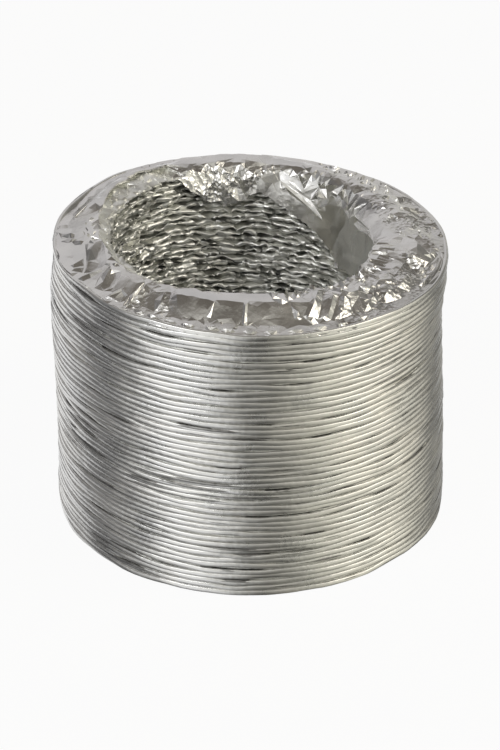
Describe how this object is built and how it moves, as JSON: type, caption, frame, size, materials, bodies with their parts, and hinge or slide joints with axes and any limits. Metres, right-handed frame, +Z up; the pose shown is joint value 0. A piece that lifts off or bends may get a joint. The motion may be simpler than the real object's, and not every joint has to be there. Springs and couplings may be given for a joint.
{
  "type": "flexible cooker hood duct",
  "caption": "Flexible extraction duct of pleated aluminium foil over a spring wire, squeezed into a short stack, with its loose foil end tucked in at the top.",
  "frame": {"origin": "middle of the lower end, on the plane the duct stands on", "axes": "+Z up along the duct's axis, +Y towards the back of the picture, +X to its right"},
  "size_m": [0.127, 0.127, 0.0988],
  "materials": {
    "foil": "bright crumpled foil laminate, lightly rolled sheen",
    "wire": "drawn spring wire, dull"
  },
  "bodies": {
    "root": {"foil_sleeve": "foil", "spring_wire": "wire"}
  },
  "joints": []
}
